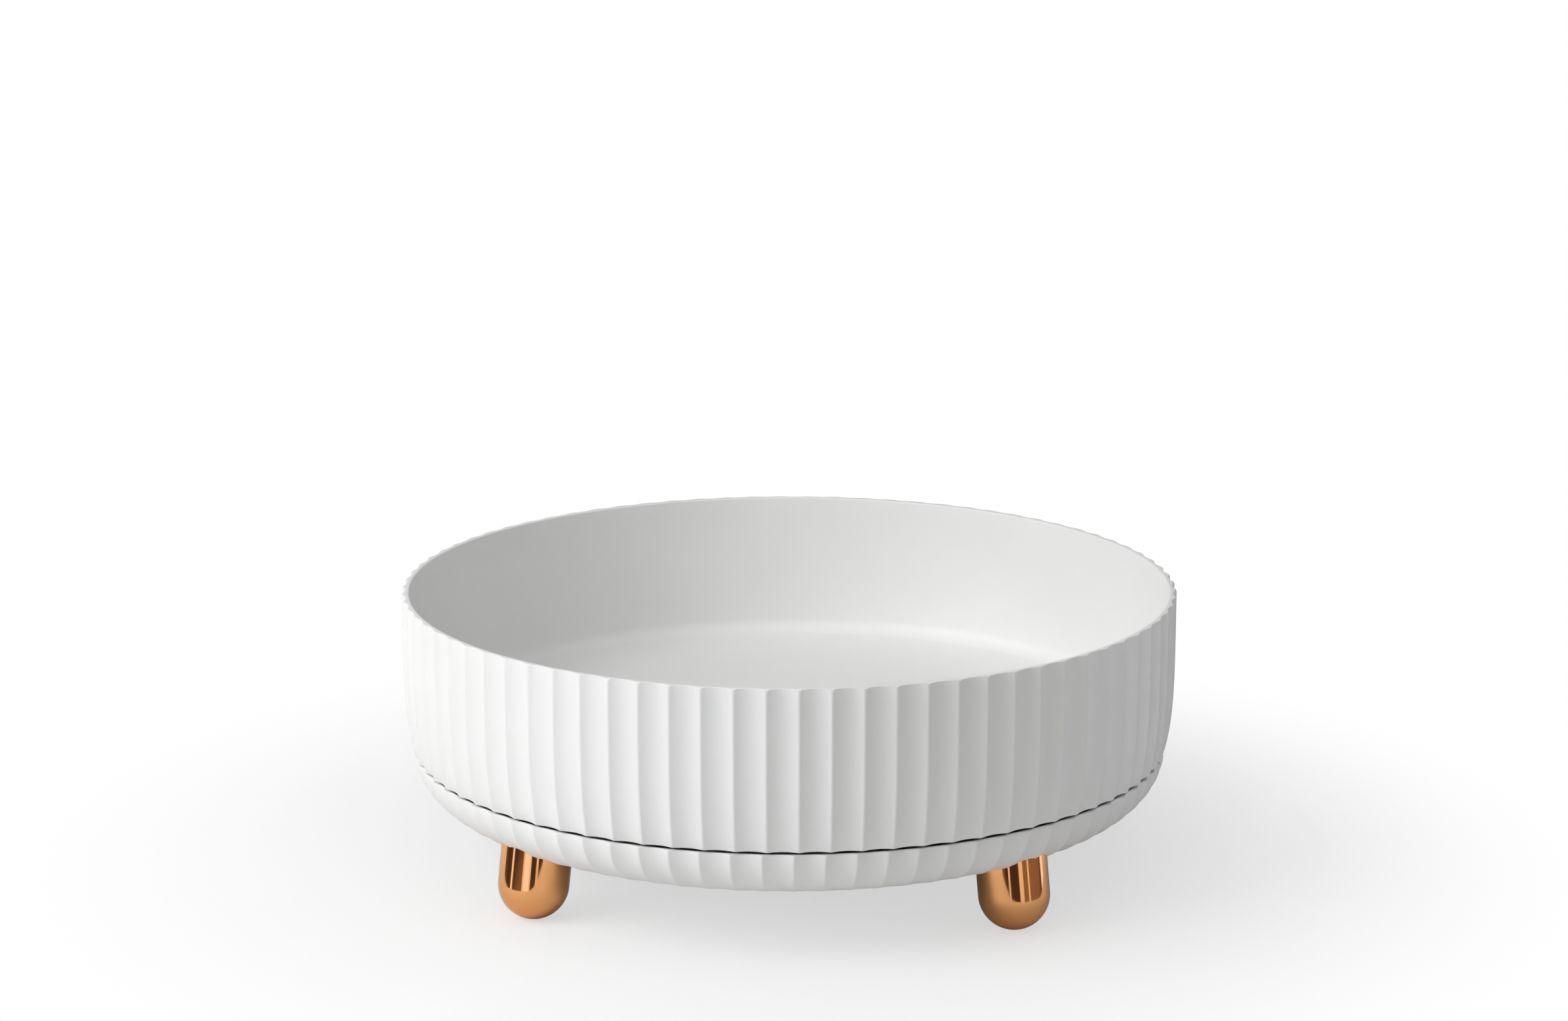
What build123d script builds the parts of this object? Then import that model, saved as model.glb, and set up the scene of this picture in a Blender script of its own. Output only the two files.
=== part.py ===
"""Round fluted makeup organizer tray that turns on a low four-footed base.

Millimetres, +Z up.  The origin is on the surface the feet stand on, under the
turning axis.  The front of the organizer faces -Y.

From the top down: an open tray with a fluted wall, the turntable under its
floor (two race rings with a caged row of steel balls between them, and a
centre pivot), a shallow bowl-shaped base with the same fluted wall, and four
plated feet that lean outwards.
"""
import os
from math import cos, pi, radians, sin

from build123d import *

# ---------------------------------------------------------------- main sizes
RIM_RADIUS = 140.0          # outer radius over the ridges, at the rim
TOTAL_HEIGHT = 100.0        # feet to rim
SEAM_Z = 41.9               # middle of the gap between tray and base
SEAM_GAP = 1.0
SEAM_RADIUS = 136.6         # outer radius over the ridges, at the gap
UNDERSIDE_Z = 22.3          # flat bottom of the base
UNDERSIDE_RADIUS = 112.0    # where that flat starts to curl up

# ------------------------------------------------------------------- fluting
FLUTE_COUNT = 80
FLUTE_DEPTH = 1.2           # hollow between two ridges
RIDGE_WIDTH = 0.6           # narrow flat on top of each ridge
TRAY_TURN = 0.7             # degrees by which the tray rests ahead of the base
TAPER_POWER = 4.8           # the tray wall is upright and curls in low down
BASE_FADE = 0.7             # how the flutes die out towards the flat underside
TRAY_STATIONS = [84.0, 70.0, 58.0, 49.0]              # heights between rim and gap
BASE_STATIONS = [1.5, 16.0, 32.0, 48.0, 62.0, 75.0, 90.0]   # degrees, gap to underside

# ---------------------------------------------------------------------- tray
RIM_WALL = 2.8              # ridge top to inner wall
RIM_OUTER_ROUND = 0.7       # less than the flutes' depth, so they notch the rim
RIM_INNER_ROUND = 0.6
TRAY_FLOOR_TOP = 46.4
TRAY_FLOOR = 2.4
WELL_FILLET = 6.0           # between inner wall and floor
WELL_FILLET_TURN = 82.5     # degrees it turns before it runs into the wall's own curve
WELL_STATIONS = [60.0, 70.0, 82.0]   # heights at which the inner wall follows the outer

# ---------------------------------------------------------------------- base
BASE_WALL = 2.6
LIP_BEVEL = 0.7             # thins the base's rim, so that the gap looks dark
BASE_FLOOR = 2.5
RIB_COUNT = 8
RIB_WIDTH = 1.6
BASE_RIB_HEIGHT = 5.0
RIB_START = 22.5            # degrees, so the ribs pass between feet and ears

# ---------------------------------------------------------------------- feet
FOOT_RADIUS = 12.5
FOOT_CIRCLE = 118.4         # radius at which the feet stand
FOOT_SPLAY = 7.5            # degrees each foot leans out
FOOT_WALL = 2.2
FOOT_LAND = 2.5             # radius of the small flat each foot stands on
FOOT_BLANK = 20.0           # length above the round end, before it is trimmed
FOOT_BOSS = 4.2
FOOT_PILOT_START = 1.6
FOOT_ANGLES = {
    "back_right": 45.0,
    "back_left": 135.0,
    "front_left": 225.0,
    "front_right": 315.0,
}
SEAT_RADIUS = 5.5           # seat of a foot's screw, inside the base
SEAT_HEIGHT = 18.6          # along the foot's axis, from its round end's centre

# ----------------------------------------------------------------- turntable
BALL_COUNT = 16
BALL_RADIUS = 3.0
BALL_CIRCLE = 80.0
BALL_Z = 36.2
BALL_PLAY = 0.15            # ball to groove, and ball to cage pocket
RACE_HALF_WIDTH = 7.0
RACE_GAP = 2.0              # ball centre to the face of either race ring
RACE_THICKNESS = 2.8
EAR_COUNT = 4
EAR_CIRCLE = 67.0           # screw circle of the race rings
EAR_RADIUS = 4.5
EAR_THICKNESS = 1.6
POST_RADIUS = 4.0
CAGE_HALF_WIDTH = 5.4
CAGE_THICKNESS = 1.8

# --------------------------------------------------------------------- pivot
HUB_RADIUS = 8.0            # spigot under the tray
HUB_END = 28.2
RECESS_RADIUS = 18.0        # pocket in the underside of the base
RECESS_TOP = 28.5
RECESS_WALL = 2.5
RUNNING_FIT = 0.05          # radial clearance of what turns or screws in
BUSH_RADIUS = 11.0
BUSH_FLANGE_RADIUS = 15.0
BUSH_FLANGE = 1.5
WASHER_RADIUS = 14.0
WASHER_THICKNESS = 1.2
CAP_RADIUS = 20.0
CAP_THICKNESS = 1.6
CAP_SKIRT = 1.5
CAP_HEIGHT = 4.2
CAP_NOTCH = 3.0

# -------------------------------------------------- screws: radii and lengths
PIVOT_SHANK = 2.0
PIVOT_HEAD = 4.2
PIVOT_HEAD_HEIGHT = 2.4
PIVOT_LENGTH = 13.0
SMALL_SHANK = 1.5
SMALL_HEAD = 2.8
SMALL_HEAD_HEIGHT = 1.8
HEAD_ROUND = 0.45           # of the head's height
SLOT_WIDTH = 0.24           # of the head's radius
CLEARANCE_HOLE = 1.75
WASHER_HOLE = 2.2
PILOT_SPARE = 0.3           # by which a pilot hole is deeper than its screw
RACE_SCREW_LENGTH = 6.0
FOOT_SCREW_LENGTH = 16.0

# ------------------------------------------------------------- heights worked
TRAY_BOTTOM = SEAM_Z + SEAM_GAP / 2
BASE_TOP = SEAM_Z - SEAM_GAP / 2
TRAY_UNDER = TRAY_FLOOR_TOP - TRAY_FLOOR
BASE_FLOOR_TOP = UNDERSIDE_Z + BASE_FLOOR
PLATE_TOP = RECESS_TOP + BASE_FLOOR
LOWER_RACE_TOP = BALL_Z - RACE_GAP
LOWER_RACE_BOTTOM = LOWER_RACE_TOP - RACE_THICKNESS
UPPER_RACE_BOTTOM = BALL_Z + RACE_GAP
UPPER_RACE_TOP = UPPER_RACE_BOTTOM + RACE_THICKNESS
RACE_INNER = BALL_CIRCLE - RACE_HALF_WIDTH
RACE_OUTER = BALL_CIRCLE + RACE_HALF_WIDTH
RACE_PILOT = RACE_SCREW_LENGTH - EAR_THICKNESS + PILOT_SPARE


# ------------------------------------------------------------ shared helpers
def rod(radius, bottom, top):
    """Upright round bar about the turning axis."""
    return Pos(0, 0, bottom) * Cylinder(radius, top - bottom, align=(Align.CENTER, Align.CENTER, Align.MIN))


def ring(inner, outer, bottom, top):
    """Flat ring about the turning axis."""
    return rod(outer, bottom, top) - rod(inner, bottom, top)


def turned(*edges):
    """Solid of revolution about the turning axis, from edges in (radius, z)."""
    return revolve(Plane.XZ * make_face(edges), Axis.Z)


def on_circle(radius, degrees, z=0.0):
    return Vector(radius * cos(radians(degrees)), radius * sin(radians(degrees)), z)


def around(shape, count, radius=0.0, start=0.0):
    """Copies of a shape at a radius, evenly spaced about the turning axis."""
    return [Rot(0, 0, start + k * 360.0 / count) * Pos(radius, 0, 0) * shape for k in range(count)]


def merged(body, pieces):
    for piece in pieces:
        body += piece
    return body


def cut(body, tools):
    for tool in tools:
        body -= tool
    return body


def pan_screw(shank, length, head, head_height):
    """Cross-head screw: the shank runs up from 0 and the head lies below 0."""
    top = rod(head, -head_height, 0)
    top = fillet(top.edges().filter_by(GeomType.CIRCLE).sort_by(Axis.Z)[0], head_height * HEAD_ROUND)
    bar = Pos(0, 0, -head_height) * Box(head, head * SLOT_WIDTH, head_height)
    return rod(shank, 0, length) + top - bar - Rot(0, 0, 90) * bar


# ------------------------------------------------------------------- fluting
def fluted_level(radius, depth, z, turn):
    """One level of a fluted wall: hollow arcs between narrow flat ridges."""
    pitch = 360.0 / FLUTE_COUNT
    half_ridge = RIDGE_WIDTH / 2 / radius * 180.0 / pi
    edges = []
    for k in range(FLUTE_COUNT):
        ridge = -90.0 + turn + k * pitch
        crest_start = on_circle(radius, ridge - half_ridge, z)
        crest_end = on_circle(radius, ridge + half_ridge, z)
        hollow = on_circle(radius - depth, ridge + pitch / 2, z)
        next_crest = on_circle(radius, ridge + pitch - half_ridge, z)
        edges.append(Line(crest_start, crest_end))
        edges.append(ThreePointArc(crest_end, hollow, next_crest))
    return Face(Wire(edges))


def wall_radius(z):
    """Outer radius of the tray over its ridges, at height z."""
    drop = (TOTAL_HEIGHT - z) / (TOTAL_HEIGHT - SEAM_Z)
    return RIM_RADIUS - (RIM_RADIUS - SEAM_RADIUS) * drop ** TAPER_POWER


# ---------------------------------------------------------------------- tray
def tray_well():
    """The hollow the bottles stand in, with its rounded floor edge and lip."""
    top_radius = RIM_RADIUS - RIM_WALL
    lip = (top_radius + RIM_INNER_ROUND, TOTAL_HEIGHT)
    lip_end = (top_radius, TOTAL_HEIGHT - RIM_INNER_ROUND)
    above = TOTAL_HEIGHT + 1
    turn = radians(WELL_FILLET_TURN)
    fillet_end_z = TRAY_FLOOR_TOP + WELL_FILLET * (1 - cos(turn))
    fillet_end_radius = wall_radius(fillet_end_z) - RIM_WALL
    floor_edge = (fillet_end_radius - WELL_FILLET * sin(turn), TRAY_FLOOR_TOP)
    corner = JernArc(floor_edge, (1, 0), WELL_FILLET, WELL_FILLET_TURN)
    stations = [(wall_radius(z) - RIM_WALL, z) for z in WELL_STATIONS]
    return turned(
        Line((0, TRAY_FLOOR_TOP), floor_edge),
        corner,
        Spline(corner @ 1, *stations, lip_end, tangents=(corner % 1, (0, 1))),
        JernArc(lip_end, (0, 1), RIM_INNER_ROUND, -90),
        Line(lip, (lip[0], above)),
        Line((lip[0], above), (0, above)),
        Line((0, above), (0, TRAY_FLOOR_TOP)),
    )


def rim_rounding():
    """What is taken off the ridges' tops, at the rim's outer edge."""
    edge = (RIM_RADIUS - RIM_OUTER_ROUND, TOTAL_HEIGHT)
    side = (RIM_RADIUS, TOTAL_HEIGHT - RIM_OUTER_ROUND)
    out, above = RIM_RADIUS + 1, TOTAL_HEIGHT + 1
    return turned(
        JernArc(edge, (1, 0), RIM_OUTER_ROUND, -90),
        Line(side, (out, side[1])),
        Line((out, side[1]), (out, above)),
        Line((out, above), (edge[0], above)),
        Line((edge[0], above), edge),
    )


def make_tray_shell():
    levels = [TOTAL_HEIGHT] + TRAY_STATIONS + [TRAY_BOTTOM]
    shell = loft([fluted_level(wall_radius(z), FLUTE_DEPTH, z, TRAY_TURN) for z in levels])
    shell -= tray_well()
    shell -= rim_rounding()
    shell -= rod(SEAM_RADIUS - RIM_WALL, TRAY_BOTTOM, TRAY_UNDER)

    hub = rod(HUB_RADIUS, HUB_END, TRAY_UNDER)
    rib_length = RACE_OUTER - HUB_RADIUS
    rib = Pos(HUB_RADIUS - 1, 0, UPPER_RACE_TOP) * Box(
        rib_length, RIB_WIDTH, TRAY_UNDER - UPPER_RACE_TOP, align=(Align.MIN, Align.CENTER, Align.MIN)
    )
    grid = merged(hub, around(rib, RIB_COUNT, start=RIB_START))
    grid += ring(RACE_INNER, RACE_INNER + RIB_WIDTH, UPPER_RACE_TOP, TRAY_UNDER)
    grid += ring(RACE_OUTER - RIB_WIDTH, RACE_OUTER, UPPER_RACE_TOP, TRAY_UNDER)
    grid = merged(grid, around(rod(POST_RADIUS, UPPER_RACE_TOP, TRAY_UNDER), EAR_COUNT, EAR_CIRCLE))
    shell += grid
    shell -= rod(PIVOT_SHANK + RUNNING_FIT, HUB_END, HUB_END + PIVOT_LENGTH)
    pilot = rod(SMALL_SHANK + RUNNING_FIT, UPPER_RACE_TOP, UPPER_RACE_TOP + RACE_PILOT)
    return cut(shell, around(pilot, EAR_COUNT, EAR_CIRCLE))


# ---------------------------------------------------------------------- base
def base_level(degrees):
    """Station on the base's quarter ellipse: 0 at the seam, 90 underneath.

    The flutes are full at the seam and die out where the wall turns flat.
    """
    radius = UNDERSIDE_RADIUS + (SEAM_RADIUS - UNDERSIDE_RADIUS) * cos(radians(degrees))
    z = SEAM_Z - (SEAM_Z - UNDERSIDE_Z) * sin(radians(degrees))
    depth = FLUTE_DEPTH * cos(radians(degrees)) ** BASE_FADE
    return fluted_level(radius, depth, z, 0.0)


def base_envelope():
    """The base's outside as one closed solid; the feet are trimmed with it."""
    return loft([base_level(t) for t in BASE_STATIONS])


def foot_place(angle):
    """Frame of a foot: origin at its round end's centre, +Z up its axis."""
    return Rot(0, 0, angle) * Pos(FOOT_CIRCLE, 0, foot_centre_z()) * Rot(0, -FOOT_SPLAY, 0)


def foot_centre_z():
    """Centre of the round end, which the small flat brings a little lower."""
    return (FOOT_RADIUS ** 2 - FOOT_LAND ** 2) ** 0.5


def base_cavity():
    """The hollow of the base, less the ribs, rings, posts and screw seats in it."""
    inner_top = SEAM_RADIUS - BASE_WALL
    across = inner_top - UNDERSIDE_RADIUS
    deep = BASE_TOP - BASE_FLOOR_TOP
    above = BASE_TOP + 1
    cavity = turned(
        Line((0, BASE_FLOOR_TOP), (UNDERSIDE_RADIUS, BASE_FLOOR_TOP)),
        EllipticalCenterArc((UNDERSIDE_RADIUS, BASE_TOP), across, deep, -90, arc_size=90),
        Line((inner_top, BASE_TOP), (inner_top, above)),
        Line((inner_top, above), (0, above)),
        Line((0, above), (0, BASE_FLOOR_TOP)),
    )
    rib = Pos(RECESS_RADIUS, 0, BASE_FLOOR_TOP) * Box(
        SEAM_RADIUS, RIB_WIDTH, BASE_RIB_HEIGHT, align=(Align.MIN, Align.CENTER, Align.MIN)
    )
    seat = rod(SEAT_RADIUS, 0, SEAT_HEIGHT)
    bevel = Cone(inner_top, inner_top + LIP_BEVEL, LIP_BEVEL, align=(Align.CENTER, Align.CENTER, Align.MIN))
    cavity += Pos(0, 0, BASE_TOP - LIP_BEVEL) * bevel
    cavity = cut(cavity, around(rib, RIB_COUNT, start=RIB_START))
    cavity -= ring(RACE_INNER, RACE_INNER + RIB_WIDTH, BASE_FLOOR_TOP, LOWER_RACE_BOTTOM)
    cavity -= ring(RACE_OUTER - RIB_WIDTH, RACE_OUTER, BASE_FLOOR_TOP, LOWER_RACE_BOTTOM)
    cavity = cut(cavity, around(rod(POST_RADIUS, BASE_FLOOR_TOP, LOWER_RACE_BOTTOM), EAR_COUNT, EAR_CIRCLE))
    cavity = cut(cavity, [foot_place(angle) * seat for angle in FOOT_ANGLES.values()])
    return cavity - rod(CAP_RADIUS + RECESS_WALL, BASE_FLOOR_TOP, PLATE_TOP)


def make_base_bowl(envelope):
    bowl = envelope - base_cavity()
    bowl -= rod(CAP_RADIUS + RUNNING_FIT, UNDERSIDE_Z, UNDERSIDE_Z + CAP_HEIGHT)
    bowl -= rod(RECESS_RADIUS, UNDERSIDE_Z, RECESS_TOP)
    bowl -= rod(BUSH_RADIUS, RECESS_TOP, PLATE_TOP)
    pilot = rod(SMALL_SHANK + RUNNING_FIT, LOWER_RACE_BOTTOM - RACE_PILOT, LOWER_RACE_BOTTOM)
    bowl = cut(bowl, around(pilot, EAR_COUNT, EAR_CIRCLE))
    hole = rod(CLEARANCE_HOLE, 0, SEAT_HEIGHT)
    return cut(bowl, [foot_place(angle) * hole for angle in FOOT_ANGLES.values()])


# ---------------------------------------------------------------------- feet
def capsule(radius, length):
    return rod(radius, 0, length) + Sphere(radius)


def make_foot(angle, envelope):
    """Thin plated shell with a screw boss, its top cut to the fluted base.

    It is cut off flat where it stands.
    """
    shell = capsule(FOOT_RADIUS, FOOT_BLANK) - capsule(FOOT_RADIUS - FOOT_WALL, FOOT_BLANK)
    boss = rod(FOOT_BOSS, FOOT_WALL / 2 - FOOT_RADIUS, FOOT_BLANK)
    foot = shell + boss - rod(SMALL_SHANK + RUNNING_FIT, FOOT_PILOT_START, FOOT_BLANK)
    return split(foot_place(angle) * foot - envelope, bisect_by=Plane.XY, keep=Keep.TOP)


def foot_screw(angle):
    screw = pan_screw(SMALL_SHANK, FOOT_SCREW_LENGTH, SMALL_HEAD, SMALL_HEAD_HEIGHT)
    return foot_place(angle) * Pos(0, 0, SEAT_HEIGHT) * Rot(180, 0, 0) * screw


# ----------------------------------------------------------------- turntable
def race_ring(face_z, back_z, ear_face_z):
    """Flat ring with a ball groove in its face and screw ears at its inside."""
    low, high = sorted((face_z, back_z))
    body = ring(RACE_INNER, RACE_OUTER, low, high)
    ear_low, ear_high = sorted((ear_face_z, back_z))
    ear = rod(EAR_RADIUS, ear_low, ear_high)
    reach = RACE_INNER + 1 - EAR_CIRCLE
    ear += Pos(reach / 2, 0, (ear_low + ear_high) / 2) * Box(reach, 2 * EAR_RADIUS, ear_high - ear_low)
    body = merged(body, around(ear, EAR_COUNT, EAR_CIRCLE))
    body -= Pos(0, 0, BALL_Z) * Torus(BALL_CIRCLE, BALL_RADIUS + BALL_PLAY)
    return cut(body, around(rod(CLEARANCE_HOLE, ear_low, ear_high), EAR_COUNT, EAR_CIRCLE))


def make_ball_cage():
    cage = ring(
        BALL_CIRCLE - CAGE_HALF_WIDTH, BALL_CIRCLE + CAGE_HALF_WIDTH,
        BALL_Z - CAGE_THICKNESS / 2, BALL_Z + CAGE_THICKNESS / 2,
    )
    pocket = Pos(0, 0, BALL_Z) * Sphere(BALL_RADIUS + BALL_PLAY)
    return cut(cage, around(pocket, BALL_COUNT, BALL_CIRCLE))


def race_screws(ear_face_z, flip):
    screw = pan_screw(SMALL_SHANK, RACE_SCREW_LENGTH, SMALL_HEAD, SMALL_HEAD_HEIGHT)
    placed = Pos(0, 0, ear_face_z) * Rot(flip, 0, 0) * screw
    return Compound(children=around(placed, EAR_COUNT, EAR_CIRCLE))


# --------------------------------------------------------------------- pivot
def make_pivot_bush():
    flange_top = PLATE_TOP + BUSH_FLANGE
    sleeve = rod(BUSH_RADIUS, RECESS_TOP, PLATE_TOP) + rod(BUSH_FLANGE_RADIUS, PLATE_TOP, flange_top)
    return sleeve - rod(HUB_RADIUS + RUNNING_FIT, RECESS_TOP, flange_top)


def make_cover_cap():
    cap = rod(CAP_RADIUS, UNDERSIDE_Z, UNDERSIDE_Z + CAP_HEIGHT)
    cap -= rod(CAP_RADIUS - CAP_SKIRT, UNDERSIDE_Z + CAP_THICKNESS, UNDERSIDE_Z + CAP_HEIGHT)
    return cap - Pos(CAP_RADIUS, 0, 0) * rod(CAP_NOTCH, UNDERSIDE_Z, UNDERSIDE_Z + CAP_THICKNESS / 2)


def make_nodes():
    envelope = base_envelope()
    washer_bottom = HUB_END - WASHER_THICKNESS
    upper_ear = UPPER_RACE_TOP - EAR_THICKNESS
    lower_ear = LOWER_RACE_BOTTOM + EAR_THICKNESS
    ball = Pos(0, 0, BALL_Z) * Sphere(BALL_RADIUS)
    nodes = {
        "tray_shell": make_tray_shell(),
        "upper_race_ring": race_ring(UPPER_RACE_BOTTOM, UPPER_RACE_TOP, upper_ear),
        "upper_race_screws": race_screws(upper_ear, 0),
        "pivot_washer": ring(WASHER_HOLE, WASHER_RADIUS, washer_bottom, HUB_END),
        "pivot_screw": Pos(0, 0, washer_bottom) * pan_screw(
            PIVOT_SHANK, PIVOT_LENGTH, PIVOT_HEAD, PIVOT_HEAD_HEIGHT
        ),
        "ball_cage": make_ball_cage(),
        "bearing_balls": Compound(children=around(ball, BALL_COUNT, BALL_CIRCLE)),
        "base_bowl": make_base_bowl(envelope),
        "lower_race_ring": race_ring(LOWER_RACE_TOP, LOWER_RACE_BOTTOM, lower_ear),
        "lower_race_screws": race_screws(lower_ear, 180),
        "pivot_bush": make_pivot_bush(),
        "pivot_cover_cap": make_cover_cap(),
    }
    for corner, angle in FOOT_ANGLES.items():
        nodes["foot_" + corner] = make_foot(angle, envelope)
        nodes["foot_screw_" + corner] = foot_screw(angle)
    return nodes


os.makedirs("parts", exist_ok=True)
for name, shape in make_nodes().items():
    export_step(shape, "parts/" + name + ".step")
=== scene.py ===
from math import acos, atan2, cos, pi, radians, sin, sqrt

import bmesh
import bpy
from mathutils import Matrix, Vector


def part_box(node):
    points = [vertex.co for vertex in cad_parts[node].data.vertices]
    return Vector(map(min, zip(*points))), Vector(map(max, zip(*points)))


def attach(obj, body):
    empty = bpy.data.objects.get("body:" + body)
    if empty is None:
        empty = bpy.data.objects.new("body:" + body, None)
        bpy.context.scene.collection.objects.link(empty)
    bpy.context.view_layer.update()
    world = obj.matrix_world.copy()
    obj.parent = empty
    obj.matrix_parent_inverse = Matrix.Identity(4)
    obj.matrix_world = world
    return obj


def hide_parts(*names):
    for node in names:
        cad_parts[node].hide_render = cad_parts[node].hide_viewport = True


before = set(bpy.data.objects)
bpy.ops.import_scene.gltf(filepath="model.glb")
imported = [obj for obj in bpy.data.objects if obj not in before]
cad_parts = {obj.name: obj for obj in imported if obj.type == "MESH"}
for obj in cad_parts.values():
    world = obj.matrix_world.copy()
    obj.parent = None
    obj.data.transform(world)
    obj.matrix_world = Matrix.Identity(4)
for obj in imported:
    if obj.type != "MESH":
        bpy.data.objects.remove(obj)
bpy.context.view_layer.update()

MM = 0.001

# ------------------------------------------------------- sizes from the frame
TRAY_LOW, TRAY_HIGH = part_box("tray_shell")
BASE_LOW, BASE_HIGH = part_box("base_bowl")

RIM_RADIUS = TRAY_HIGH.x
RIM_TOP = TRAY_HIGH.z
HUB_END = TRAY_LOW.z
SEAM_RADIUS = BASE_HIGH.x
UNDERSIDE = BASE_LOW.z
BASE_TOP = BASE_HIGH.z
UPPER_RACE_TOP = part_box("upper_race_ring")[1].z
LOWER_RACE_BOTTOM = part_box("lower_race_ring")[0].z
BUSH_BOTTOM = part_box("pivot_bush")[0].z
CAP_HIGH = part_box("pivot_cover_cap")[1]
SEAM_GAP = 1.0 * MM
SEAM = BASE_TOP + SEAM_GAP / 2
TRAY_BOTTOM = BASE_TOP + SEAM_GAP

# ------------------------------------------------------ sizes of the mouldings
FLUTES = 80
FLUTE_DEPTH = 1.2 * MM
RIDGE_SHARE = 0.057         # of a pitch, the flat on top of each ridge
TRAY_TURN = radians(0.7)    # the tray rests this far ahead of the base
TAPER_POWER = 4.8           # the tray wall is upright, and curls in low down
FADE_POWER = 0.7            # the base's flutes die out towards its underside
WALL = 2.8 * MM
RIM_ROUND = 0.7 * MM        # less than the flutes' depth, so they notch the rim
NOTCH_ROUND = 0.15 * MM
LIP_ROUND = 0.6 * MM
EDGE_ROUND = 0.3 * MM
FLOOR_TOP = 46.4 * MM
FLOOR_UNDER = 44.0 * MM
WELL_FILLET = 6.0 * MM
FILLET_TURN = 82.5          # degrees, then it runs into the wall's own curve
BASE_WALL = 2.6 * MM
BASE_FLOOR = 2.5 * MM
INNER_FLOOR = UNDERSIDE + BASE_FLOOR
LIP_BEVEL = 0.7 * MM
FLAT_RADIUS = 112.0 * MM
SKIN_TOP = 1.5              # degrees down the base's curve, at its rim
SKIN_ROWS_FROM = 3.0        # degrees, below which its rows are evenly spaced

# -------------------------------------------------- how finely they are meshed
TRAY_FLOOR_RINGS = [r * MM for r in (0, 8, 30, 60, 90, 115)]
TRAY_UNDER_RINGS = [r * MM for r in (110, 60, 8, 0)]
BASE_FLOOR_RING = 60 * MM
BASE_UNDER_RINGS = [100 * MM, BASE_FLOOR_RING]
OUTER_ROWS, INNER_ROWS = 16, 8
FILLET_STEPS, LIP_STEPS, RIM_STEPS, EDGE_STEPS = 8, 5, 7, 3
WELD, SLIVER = 2e-6, 1e-7   # metres

# ------------------------------------------------- pivot, ribs and screw posts
HUB_RADIUS = 8.0 * MM
RECESS_RADIUS = 18.0 * MM   # pocket above the cap
RECESS_WALL_RADIUS = 22.5 * MM
PIVOT_PLATE_TOP = 31.0 * MM
BUSH_HOLE = 11.0 * MM
CAP_PLAY = 0.05 * MM
RACE_INNER, RACE_OUTER = 73.0 * MM, 87.0 * MM
RIBS = 8
RIB_START = 22.5            # degrees
RIB_WIDTH = 1.6 * MM
RIB_BITE = 0.2 * MM         # by which the base's ribs go into its floor
BASE_RIB_HEIGHT = 5.0 * MM
BASE_RIB_INNER, BASE_RIB_OUTER = 20.0 * MM, 118.0 * MM
POSTS = 4
POST_CIRCLE = 67.0 * MM
POST_RADIUS = 4.0 * MM

# ----------------------------------------------------------------------- feet
FOOT_RADIUS = 12.5 * MM
FOOT_WALL = 2.2 * MM
FOOT_CIRCLE = 118.4 * MM
FOOT_SPLAY = radians(7.5)
FOOT_LAND = 2.5 * MM
FOOT_BLANK = 24.0 * MM      # length above the round end, before it is fitted
FOOT_KEEPS = 2.0 * MM       # up to here the fitting doesn't stretch it
FOOT_BURY = 1.1 * MM        # how far its top edge goes into the base's skin
FOOT_BOSS = 4.2 * MM
BOSS_TURN = -66             # degrees, where the hollow's round end meets the boss
FOOT_PILOT = 1.55 * MM
FOOT_PILOT_END = 1.6 * MM
FOOT_STEPS, FOOT_ROWS, FOOT_SIDES = 30, 8, 96
FIT_HALVINGS = 14
SEAT_RADIUS = 5.5 * MM      # seat of the foot's screw, inside the base
SEAT_LOW, SEAT_HIGH = 12.5 * MM, 18.6 * MM
FOOT_ANGLES = {"back_right": 45, "back_left": 135, "front_left": 225, "front_right": 315}

# ------------------------------------------------- camera, from the photograph
VIEW_AZIMUTH = radians(3.9)
VIEW_ELEVATION = radians(13.42)
VIEW_DISTANCE = 1.5
VIEW_TARGET_RIGHT = -1.86 * MM
VIEW_TARGET_UP = 127.45 * MM
IMAGE_WIDTH = 2380
SENSOR = 36.0
PIXELS_PER_METRE = 4205.0   # at the target
LENS = SENSOR * PIXELS_PER_METRE * VIEW_DISTANCE / IMAGE_WIDTH

# ------------------------------------------------- stage and light, in metres
FLOOR_RADIUS = 9
FLOOR_COLOUR = (0.84, 0.84, 0.835, 1)
SHADOW_END, WHITE_START = 0.13, 0.30   # from the axis
SHADOW_LIGHTENING = 0.6
AMBIENT = 0.35
LIGHT_AIM = 0.07            # height that the lamps point at
CARD_RING = 0.20
CARD_LOW, CARD_HIGH = 0.1 * MM, 0.22
CARD_STEPS = 6
# the two tones of the dark cards, which are painted dark reflections in the metal
DARK_REFLECTION_TONES = [(0.10, 0.07, 0.06), (0.46, 0.34, 0.28)]
# glow of the bright cards, which paint highlights into the metal and light nothing else
HIGHLIGHT_GLOW_COLOUR = (0.9, 1.0, 1.35, 1)
HIGHLIGHT_GLOW_STRENGTH = 1.35
# where the cards that are painted reflections and painted highlights in the metal start and end, in
# degrees round from the camera
DARK_REFLECTION_CARDS = [
    (-75, -59), (-56, -43), (-32, -24), (-20, -11), (3, 15), (18, 31), (36, 42), (44, 66),
    (88, 106), (112, 134), (140, 146), (152, 176), (183, 205), (212, 228), (236, 254),
]
HIGHLIGHT_GLOW_CARDS = [(-59, -57), (-41, -34), (-11, -5), (67, 74), (108, 111), (178, 181), (230, 234)]


# ------------------------------------------------------------ mesh helpers
def arc(centre, radius, start, end, steps):
    """Points of a round edge in (radius, z), degrees from start to end."""
    turns = [radians(start + (end - start) * k / steps) for k in range(steps + 1)]
    return [(centre[0] + radius * cos(t), centre[1] + radius * sin(t)) for t in turns]


def new_object(bm, name):
    """Object of a finished mesh, at the origin."""
    mesh = bpy.data.meshes.new(name)
    bm.to_mesh(mesh)
    bm.free()
    made = bpy.data.objects.new(name, mesh)
    bpy.context.collection.objects.link(made)
    return made


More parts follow.
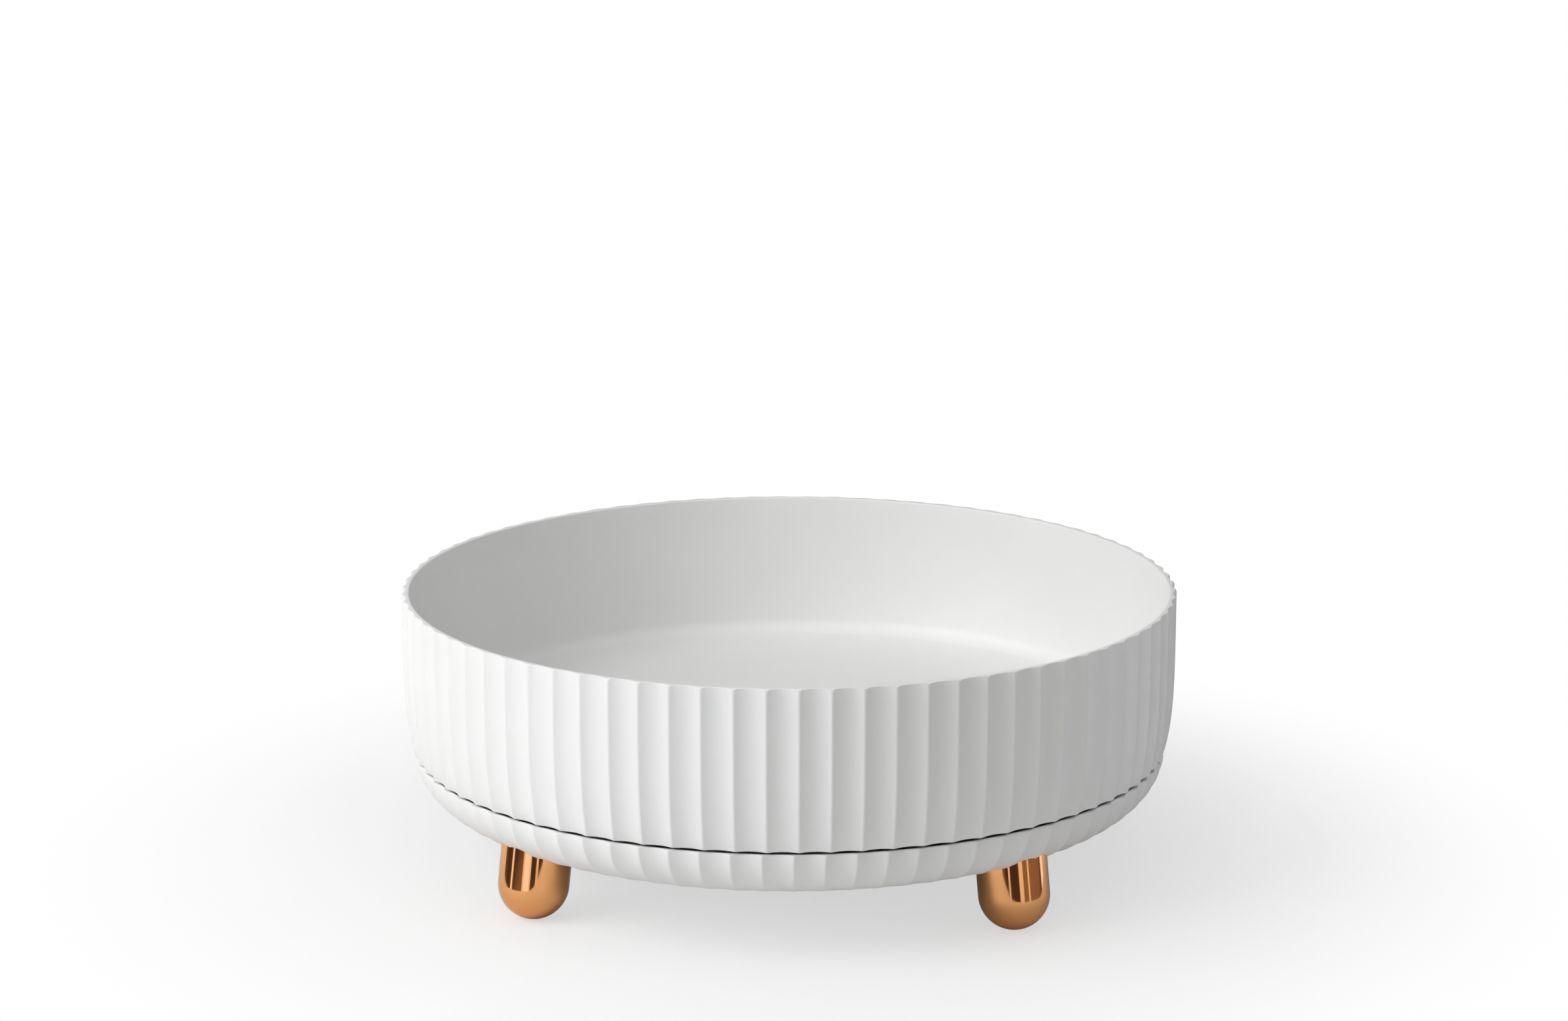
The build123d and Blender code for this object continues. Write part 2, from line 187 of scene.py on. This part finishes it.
def finish_mesh(bm, name, sharp=38):
    """Closes seams and poles, turns the faces outwards and makes the object."""
    bmesh.ops.remove_doubles(bm, verts=bm.verts, dist=WELD)
    bmesh.ops.dissolve_degenerate(bm, dist=SLIVER, edges=bm.edges)
    bmesh.ops.recalc_face_normals(bm, faces=bm.faces)
    piece = new_object(bm, name)
    piece.data.shade_smooth()
    piece.data.set_sharp_from_angle(angle=radians(sharp))
    return piece


def spin_about_axis(bm, geom, angle, steps, **options):
    bmesh.ops.spin(bm, geom=geom, cent=(0, 0, 0), axis=(0, 0, 1), angle=angle, steps=steps, **options)


def ring_of_sectors(bm, column, stops, count, turn):
    """Makes one sector of a moulding from a grid and repeats it round the axis.

    column(share) gives the (radius, z) points at that share of a sector.
    """
    across, rows = len(stops) - 1, len(column(0.0)) - 1
    sector = 2 * pi / count
    made = bmesh.ops.create_grid(bm, x_segments=across, y_segments=rows, size=0.5)["verts"]
    columns = [column(share) for share in stops]
    for vert in made:
        i = round((vert.co.x + 0.5) * across)
        j = round((vert.co.y + 0.5) * rows)
        radius, z = columns[i][j]
        angle = turn - pi / 2 + sector * stops[i]
        vert.co = (radius * cos(angle), radius * sin(angle), z)
    bmesh.ops.remove_doubles(bm, verts=made, dist=SLIVER)
    geom = bm.verts[:] + bm.edges[:] + bm.faces[:]
    spin_about_axis(bm, geom, sector * (count - 1), count - 1, use_duplicate=True)


def add_part(bm, part, place):
    """Moves a finished small part into place and adds it to a larger mesh."""
    bmesh.ops.transform(part, matrix=place or Matrix.Identity(4), verts=part.verts)
    mesh = bpy.data.meshes.new("part")
    part.to_mesh(mesh)
    part.free()
    bm.from_mesh(mesh)
    bpy.data.meshes.remove(mesh)


def spun_part(outline, steps):
    """Closed solid of revolution from (radius, z) points about +Z."""
    part = bmesh.new()
    verts = [part.verts.new((radius, 0, z)) for radius, z in outline]
    edges = [part.edges.new(pair) for pair in zip(verts, verts[1:])]
    spin_about_axis(part, verts + edges, 2 * pi, steps, use_merge=True)
    return part


def add_rod(bm, radius, low, high, place=None, steps=32):
    bevel = min(EDGE_ROUND, radius / 4)
    outline = [(0, low), (radius - bevel, low), (radius, low + bevel)]
    outline += [(radius, high - bevel), (radius - bevel, high), (0, high)]
    add_part(bm, spun_part(outline, steps), place)


def add_ring(bm, inner, outer, low, high, steps=160):
    outline = [(inner, low), (outer, low), (outer, high), (inner, high), (inner, low)]
    add_part(bm, spun_part(outline, steps), None)


def add_rib(bm, start, end, low, high, angle):
    centre = Matrix.Translation(((start + end) / 2, 0, (low + high) / 2))
    size = Matrix.Diagonal((end - start, RIB_WIDTH, high - low, 1))
    bmesh.ops.create_cube(bm, size=1, matrix=Matrix.Rotation(angle, 4, "Z") @ centre @ size)


# ------------------------------------------------------------------ fluting
# shares of a pitch at which the outline has a point, closest near the ridge
HALF_STOPS = [0.0, 0.026, 0.036, 0.06, 0.11, 0.18, 0.27, 0.38]
FLUTE_STOPS = HALF_STOPS + [0.5] + [1 - s for s in reversed(HALF_STOPS)]


def hollow_at(share):
    """Depth of the flute at a share of its pitch: a shallow round hollow."""
    half_ridge = RIDGE_SHARE / 2
    across = min(share, 1 - share)
    if across <= half_ridge:
        return 0.0
    x = (0.5 - across) / (0.5 - half_ridge)
    return FLUTE_DEPTH * (1 - x * x)


def wall_radius(z):
    """Radius of the tray over its ridges at a height."""
    drop = max(0.0, (RIM_TOP - z) / (RIM_TOP - SEAM))
    return RIM_RADIUS - (RIM_RADIUS - SEAM_RADIUS) * drop ** TAPER_POWER


def tray_column(share):
    """Floor, inner wall, lip, rim, fluted wall and underside at one angle."""
    hollow = hollow_at(share)
    turn = radians(FILLET_TURN)
    low = FLOOR_TOP + WELL_FILLET * (1 - cos(turn))
    high = RIM_TOP - LIP_ROUND
    inner_top = RIM_RADIUS - WALL
    corner = (wall_radius(low) - WALL - WELL_FILLET * sin(turn), FLOOR_TOP + WELL_FILLET)
    points = [(radius, FLOOR_TOP) for radius in TRAY_FLOOR_RINGS]
    points += arc(corner, WELL_FILLET, -90, FILLET_TURN - 90, FILLET_STEPS)
    for k in range(1, INNER_ROWS):
        z = low + (high - low) * k / INNER_ROWS
        points.append((wall_radius(z) - WALL, z))
    points.append((inner_top, high))
    points += arc((inner_top + LIP_ROUND, high), LIP_ROUND, 180, 90, LIP_STEPS)[1:]
    # the ridges' rounding runs out where the hollow of the flute cuts it
    if hollow < RIM_ROUND - NOTCH_ROUND:
        run_out = acos(1 - hollow / RIM_ROUND) * 180 / pi
        points += arc((RIM_RADIUS - RIM_ROUND, RIM_TOP - RIM_ROUND), RIM_ROUND, 90, run_out, RIM_STEPS)
    else:
        edge = (RIM_RADIUS - hollow - NOTCH_ROUND, RIM_TOP - NOTCH_ROUND)
        points += arc(edge, NOTCH_ROUND, 90, 0, RIM_STEPS)
    top = points[-1][1]
    for k in range(1, OUTER_ROWS + 1):
        z = top + (TRAY_BOTTOM + EDGE_ROUND - top) * k / OUTER_ROWS
        points.append((wall_radius(z) - hollow, z))
    edge = (wall_radius(TRAY_BOTTOM) - hollow - EDGE_ROUND, TRAY_BOTTOM + EDGE_ROUND)
    points += arc(edge, EDGE_ROUND, 0, -90, EDGE_STEPS)[1:]
    skirt = SEAM_RADIUS - WALL
    points += [(skirt, TRAY_BOTTOM), (skirt, FLOOR_UNDER)]
    points += [(radius, FLOOR_UNDER) for radius in TRAY_UNDER_RINGS]
    return points


def base_curve(degrees):
    """Point on the base over its ridges, from 0 at the gap to 90 underneath."""
    t = radians(degrees)
    return (
        FLAT_RADIUS + (SEAM_RADIUS - FLAT_RADIUS) * cos(t),
        SEAM - (SEAM - UNDERSIDE) * sin(t),
    )


def base_column(share):
    """Rim, fluted curve, underside with its pocket, and inside of the base."""
    hollow = hollow_at(share)
    inner_top = SEAM_RADIUS - BASE_WALL
    edge = (base_curve(SKIN_TOP)[0] - hollow - EDGE_ROUND, BASE_TOP - EDGE_ROUND)
    points = [(inner_top + LIP_BEVEL, BASE_TOP)]
    points += arc(edge, EDGE_ROUND, 90, 0, EDGE_STEPS)
    for k in range(1, OUTER_ROWS + 1):
        degrees = SKIN_ROWS_FROM + (90 - SKIN_ROWS_FROM) * k / OUTER_ROWS
        radius, z = base_curve(degrees)
        points.append((radius - hollow * max(0.0, cos(radians(degrees))) ** FADE_POWER, z))
    points += [(radius, UNDERSIDE) for radius in BASE_UNDER_RINGS]
    pocket = CAP_HIGH.x + CAP_PLAY
    points += [
        (pocket + EDGE_ROUND, UNDERSIDE), (pocket, UNDERSIDE + EDGE_ROUND),
        (pocket, CAP_HIGH.z), (RECESS_RADIUS, CAP_HIGH.z),
        (RECESS_RADIUS, BUSH_BOTTOM), (BUSH_HOLE, BUSH_BOTTOM),
        (BUSH_HOLE, PIVOT_PLATE_TOP), (RECESS_WALL_RADIUS, PIVOT_PLATE_TOP),
        (RECESS_WALL_RADIUS, INNER_FLOOR), (BASE_FLOOR_RING, INNER_FLOOR),
    ]
    for k in range(INNER_ROWS):
        t = radians(-90 + 90 * k / INNER_ROWS)
        points.append((
            FLAT_RADIUS + (inner_top - FLAT_RADIUS) * cos(t),
            BASE_TOP + (BASE_TOP - INNER_FLOOR) * sin(t),
        ))
    return points + [(inner_top, BASE_TOP - LIP_BEVEL), points[0]]


# ------------------------------------------------------------ the mouldings
def add_supports(bm, rib_ends, rib_faces, low, high):
    """Radial ribs, and the ring ribs and screw posts that carry a race ring."""
    for k in range(RIBS):
        add_rib(bm, *rib_ends, *rib_faces, radians(RIB_START + 360 / RIBS * k))
    add_ring(bm, RACE_INNER, RACE_INNER + RIB_WIDTH, low, high)
    add_ring(bm, RACE_OUTER - RIB_WIDTH, RACE_OUTER, low, high)
    for k in range(POSTS):
        turn = Matrix.Rotation(2 * pi / POSTS * k, 4, "Z")
        add_rod(bm, POST_RADIUS, low, high, turn @ Matrix.Translation((POST_CIRCLE, 0, 0)))


def make_tray():
    bm = bmesh.new()
    ring_of_sectors(bm, tray_column, FLUTE_STOPS, FLUTES, TRAY_TURN)
    faces = (UPPER_RACE_TOP, FLOOR_UNDER)
    add_supports(bm, (HUB_RADIUS, RACE_OUTER), faces, *faces)
    add_rod(bm, HUB_RADIUS, HUB_END, FLOOR_UNDER)
    return finish_mesh(bm, "tray_body")


def foot_place(angle):
    """Puts a foot's round end on the floor at that angle, leaning outwards."""
    centre_z = sqrt(FOOT_RADIUS ** 2 - FOOT_LAND ** 2)
    turn = Matrix.Rotation(radians(angle), 4, "Z")
    return turn @ Matrix.Translation((FOOT_CIRCLE, 0, centre_z)) @ Matrix.Rotation(-FOOT_SPLAY, 4, "Y")


def make_base():
    bm = bmesh.new()
    ring_of_sectors(bm, base_column, FLUTE_STOPS, FLUTES, 0.0)
    rib_faces = (INNER_FLOOR - RIB_BITE, INNER_FLOOR + BASE_RIB_HEIGHT)
    add_supports(bm, (BASE_RIB_INNER, BASE_RIB_OUTER), rib_faces, INNER_FLOOR, LOWER_RACE_BOTTOM)
    for angle in FOOT_ANGLES.values():
        add_rod(bm, SEAT_RADIUS, SEAT_LOW, SEAT_HIGH, foot_place(angle))
    return finish_mesh(bm, "base_body")


# ----------------------------------------------------------------- the feet
def seat_depth(point):
    """How far inside the base's outer skin a point is, roughly, in metres."""
    radius = sqrt(point.x ** 2 + point.y ** 2)
    if radius <= FLAT_RADIUS:
        return point.z - UNDERSIDE
    across = (radius - FLAT_RADIUS) / (SEAM_RADIUS - FLAT_RADIUS)
    down = (SEAM - point.z) / (SEAM - UNDERSIDE)
    return (1 - sqrt(across ** 2 + down ** 2)) * (SEAM - UNDERSIDE)


def foot_top(place, radius, turn):
    """Height along the foot at which its skin has just gone into the base."""
    low, high = 0.0, FOOT_BLANK
    for _ in range(FIT_HALVINGS):
        middle = (low + high) / 2
        inside = seat_depth(place @ Vector((radius * cos(turn), radius * sin(turn), middle)))
        low, high = (low, middle) if inside > FOOT_BURY else (middle, high)
    return low


def make_foot(corner):
    """Plated round-ended shell with its screw boss, cut to sit on the base."""
    place = foot_place(FOOT_ANGLES[corner])
    inner = FOOT_RADIUS - FOOT_WALL
    outline = arc((0, 0), FOOT_RADIUS, -90, 0, FOOT_STEPS)
    outline += [(FOOT_RADIUS, FOOT_BLANK * k / FOOT_ROWS) for k in range(1, FOOT_ROWS + 1)]
    outline += [(inner, FOOT_BLANK * k / FOOT_ROWS) for k in range(FOOT_ROWS, -1, -1)]
    outline += arc((0, 0), inner, 0, BOSS_TURN, FOOT_ROWS)[1:]
    outline += [(FOOT_BOSS, FOOT_BLANK), (FOOT_PILOT, FOOT_BLANK)]
    outline += [(FOOT_PILOT, FOOT_PILOT_END), (0, FOOT_PILOT_END)]
    bm = spun_part(outline, FOOT_SIDES)
    for vert in bm.verts:
        if vert.co.z > FOOT_KEEPS:
            radius, turn = sqrt(vert.co.x ** 2 + vert.co.y ** 2), atan2(vert.co.y, vert.co.x)
            vert.co.z *= foot_top(place, radius, turn) / FOOT_BLANK
    bmesh.ops.transform(bm, matrix=place, verts=bm.verts)
    # the small flat that stands on the floor
    for vert in bm.verts:
        vert.co.z = max(0.0, vert.co.z)
    return finish_mesh(bm, "foot_" + corner + "_shell", sharp=50)


# ---------------------------------------------------------------- materials
def new_material(name):
    material = bpy.data.materials.new(name)
    material.use_nodes = True
    nodes, links = material.node_tree.nodes, material.node_tree.links
    shader = nodes["Principled BSDF"]
    place = nodes.new("ShaderNodeTexCoord").outputs["Object"]
    return material, nodes, links, shader, place


def noise(nodes, links, place, scale, detail=2.0):
    node = nodes.new("ShaderNodeTexNoise")
    node.inputs["Scale"].default_value = scale
    node.inputs["Detail"].default_value = detail
    links.new(place, node.inputs["Vector"])
    return node.outputs["Fac"]


def spread(nodes, links, value, low, high, from_low=0.3, from_high=0.7):
    node = nodes.new("ShaderNodeMapRange")
    node.inputs["From Min"].default_value = from_low
    node.inputs["From Max"].default_value = from_high
    node.inputs["To Min"].default_value = low
    node.inputs["To Max"].default_value = high
    links.new(value, node.inputs["Value"])
    return node.outputs["Result"]


def combine(nodes, links, operation, first, second):
    node = nodes.new("ShaderNodeMath")
    node.operation = operation
    links.new(first, node.inputs[0])
    links.new(second, node.inputs[1])
    return node.outputs[0]


def blend_colours(nodes, links, share, first, second):
    node = nodes.new("ShaderNodeMix")
    node.data_type = "RGBA"
    node.inputs["A"].default_value = (*first, 1)
    node.inputs["B"].default_value = (*second, 1)
    links.new(share, node.inputs["Factor"])
    return node.outputs["Result"]


def add_bump(nodes, links, shader, height, strength, distance):
    node = nodes.new("ShaderNodeBump")
    node.inputs["Strength"].default_value = strength
    node.inputs["Distance"].default_value = distance
    links.new(height, node.inputs["Height"])
    links.new(node.outputs["Normal"], shader.inputs["Normal"])


def grained(name, tones, tone_scale, rough, rough_noise, grain_noise, bump, metallic=0.0):
    """Material with cloudy tones, uneven gloss and a fine grain.

    tones and rough are each the two ends of a range, rough_noise and
    grain_noise are (scale, detail), and bump is the grain's (strength, depth).
    """
    material, nodes, links, shader, place = new_material(name)
    shader.inputs["Metallic"].default_value = metallic
    cloud = spread(nodes, links, noise(nodes, links, place, tone_scale, detail=3), 0, 1)
    links.new(blend_colours(nodes, links, cloud, *tones), shader.inputs["Base Color"])
    gloss = spread(nodes, links, noise(nodes, links, place, *rough_noise), *rough)
    links.new(gloss, shader.inputs["Roughness"])
    add_bump(nodes, links, shader, noise(nodes, links, place, *grain_noise), *bump)
    return material


def tones_of(colour, darkest):
    return tuple(c * darkest for c in colour), colour


def matte_white():
    """Moulded white plastic with a fine eroded grain and faint handling."""
    return grained(
        "matte_white_plastic", tones=((0.80, 0.80, 0.795), (0.83, 0.83, 0.825)), tone_scale=14,
        rough=(0.44, 0.56), rough_noise=(90, 4), grain_noise=(2600, 2), bump=(0.25, 0.03 * MM),
    )


def moulded(name, colour, rough):
    """Plain bearing plastic inside the turntable."""
    return grained(
        name, tones=tones_of(colour, 0.93), tone_scale=40, rough=(rough - 0.06, rough + 0.06),
        rough_noise=(300, 3), grain_noise=(1800, 2), bump=(0.15, 0.03 * MM),
    )


def metal(name, colour, rough, grain):
    """Bare or plated metal with fine handling marks."""
    return grained(
        name, tones=tones_of(colour, 0.9), tone_scale=45, rough=(rough * 0.7, rough * 1.4),
        rough_noise=(130, 5), grain_noise=(grain, 3), bump=(0.08, 0.02 * MM), metallic=1.0,
    )


def give(piece, material):
    piece.data.materials.clear()
    piece.data.materials.append(material)


# ----------------------------------------------------------- stage and light
def direction(azimuth, elevation):
    """Unit vector outwards, from the front at azimuth 0 round to the right."""
    return Vector((sin(azimuth) * cos(elevation), -cos(azimuth) * cos(elevation), sin(elevation)))


def aim(data, name, place, way):
    """Camera or lamp at a place, which looks back along way."""
    made = bpy.data.objects.new(name, data)
    made.location = place
    made.rotation_mode = "QUATERNION"
    made.rotation_quaternion = (-way).to_track_quat("-Z", "Y")
    bpy.context.collection.objects.link(made)
    return made


def make_camera():
    back = direction(VIEW_AZIMUTH, VIEW_ELEVATION)
    right = Vector((cos(VIEW_AZIMUTH), sin(VIEW_AZIMUTH), 0))
    target = right * VIEW_TARGET_RIGHT + Vector((0, 0, VIEW_TARGET_UP))
    data = bpy.data.cameras.new("camera")
    data.sensor_width = SENSOR
    data.lens = LENS
    data.clip_end = 50
    bpy.context.scene.camera = aim(data, "camera", target + back * VIEW_DISTANCE, back)


def add_softbox(name, azimuth, elevation, distance, side, power):
    """Square area lamp aimed at the organizer, its angles in degrees."""
    way = direction(radians(azimuth), radians(elevation))
    data = bpy.data.lights.new(name, "AREA")
    data.shape = "RECTANGLE"
    data.size = data.size_y = side
    data.energy = power
    aim(data, name, Vector((0, 0, LIGHT_AIM)) + way * distance, way)


def shows_white(nodes, links):
    """1 for what is seen straight, in polished metal or through something clear."""
    path = nodes.new("ShaderNodeLightPath").outputs
    total = combine(nodes, links, "MAXIMUM", path["Is Camera Ray"], path["Is Glossy Ray"])
    return combine(nodes, links, "MAXIMUM", total, path["Is Transmission Ray"])


def make_world():
    world = bpy.data.worlds.new("studio")
    bpy.context.scene.world = world
    world.use_nodes = True
    nodes, links = world.node_tree.nodes, world.node_tree.links
    background = nodes["Background"]
    background.inputs["Color"].default_value = (1, 1, 1, 1)
    strength = spread(nodes, links, shows_white(nodes, links), AMBIENT, 1.0, from_low=0, from_high=1)
    links.new(strength, background.inputs["Strength"])


def make_floor():
    """Pale floor that keeps the shadow near the object and is white beyond."""
    bm = bmesh.new()
    bmesh.ops.create_circle(bm, cap_ends=True, segments=96, radius=FLOOR_RADIUS)
    floor = new_object(bm, "floor")
    material, nodes, links, shader, place = new_material("pale_floor")
    shader.inputs["Base Color"].default_value = FLOOR_COLOUR
    shader.inputs["Roughness"].default_value = 0.7
    distance = nodes.new("ShaderNodeVectorMath")
    distance.operation = "LENGTH"
    links.new(place, distance.inputs[0])
    far = spread(nodes, links, distance.outputs["Value"], 0.0, 1.0, SHADOW_END, WHITE_START)
    far.node.interpolation_type = "SMOOTHSTEP"
    # the shadow is light to the eye, and full in what the metal mirrors
    lighter = nodes.new("ShaderNodeMath")
    lighter.operation = "MULTIPLY"
    lighter.inputs[1].default_value = SHADOW_LIGHTENING
    links.new(nodes.new("ShaderNodeLightPath").outputs["Is Camera Ray"], lighter.inputs[0])
    links.new(lighter.outputs[0], far.node.inputs["To Min"])
    mix = nodes.new("ShaderNodeMixShader")
    links.new(combine(nodes, links, "MULTIPLY", far, shows_white(nodes, links)), mix.inputs[0])
    links.new(shader.outputs[0], mix.inputs[1])
    links.new(nodes.new("ShaderNodeEmission").outputs[0], mix.inputs[2])
    links.new(mix.outputs[0], nodes["Material Output"].inputs["Surface"])
    give(floor, material)


def make_reflection_cards(name, spans):
    """Cards round the object, seen only in its polished metal, where they are painted reflections."""
    bm = bmesh.new()
    for start, end in spans:
        turn = Matrix.Rotation(VIEW_AZIMUTH + radians(start), 4, "Z")
        pair = [bm.verts.new(turn @ Vector((0, -CARD_RING, z))) for z in (CARD_LOW, CARD_HIGH)]
        edge = bm.edges.new(pair)
        spin_about_axis(bm, pair + [edge], radians(end - start), CARD_STEPS)
    cards = new_object(bm, name)
    cards.visible_camera = False
    cards.visible_diffuse = False
    cards.visible_transmission = False
    cards.visible_volume_scatter = False
    cards.visible_shadow = False
    material, nodes, links, shader, place = new_material(name)
    shader.inputs["Roughness"].default_value = 1.0
    give(cards, material)
    return nodes, links, shader, place


def make_painted_dark_reflections():
    nodes, links, shader, place = make_reflection_cards("painted_dark_reflection_cards", DARK_REFLECTION_CARDS)
    # cloudy dark and brown tones: painted reflections of dark surroundings in the metal
    cloud = noise(nodes, links, place, scale=9, detail=1)
    share = spread(nodes, links, cloud, 0, 1, from_low=0.42, from_high=0.58)
    links.new(blend_colours(nodes, links, share, *DARK_REFLECTION_TONES), shader.inputs["Base Color"])


def make_painted_highlights():
    nodes, links, shader, place = make_reflection_cards("painted_highlight_cards", HIGHLIGHT_GLOW_CARDS)
    # glowing cards that are no lamp: painted highlights, seen only in the metal
    shader.inputs["Base Color"].default_value = (0, 0, 0, 1)
    shader.inputs["Emission Color"].default_value = HIGHLIGHT_GLOW_COLOUR
    shader.inputs["Emission Strength"].default_value = HIGHLIGHT_GLOW_STRENGTH


# -------------------------------------------------------------------- build
make_camera()
make_world()
make_floor()
make_painted_dark_reflections()
make_painted_highlights()
add_softbox("key_left", azimuth=-59, elevation=32, distance=1.3, side=0.9, power=11.3)
add_softbox("top", azimuth=20, elevation=75, distance=1.4, side=1.0, power=3.0)

white = matte_white()
plated = metal("rose_gold_plating", (0.88, 0.42, 0.17), rough=0.07, grain=900)
steel = metal("polished_steel", (0.66, 0.66, 0.67), rough=0.12, grain=1400)
zinc = metal("zinc_plated_steel", (0.58, 0.60, 0.63), rough=0.30, grain=1100)
race_plastic = moulded("race_plastic", (0.72, 0.72, 0.71), rough=0.35)
cage_plastic = moulded("cage_plastic", (0.55, 0.57, 0.60), rough=0.38)

tray = make_tray()
give(tray, white)
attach(tray, "tray")
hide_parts("tray_shell")

base = make_base()
give(base, white)
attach(base, "base")
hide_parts("base_bowl")

for corner in FOOT_ANGLES:
    foot = make_foot(corner)
    give(foot, plated)
    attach(foot, "base")
    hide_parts("foot_" + corner)

NODE_MATERIALS = {
    "upper_race_ring": race_plastic,
    "lower_race_ring": race_plastic,
    "ball_cage": cage_plastic,
    "bearing_balls": steel,
    "pivot_bush": cage_plastic,
    "pivot_cover_cap": white,
}
for name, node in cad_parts.items():
    give(node, NODE_MATERIALS.get(name, zinc))

bpy.context.scene.view_settings.view_transform = "Standard"
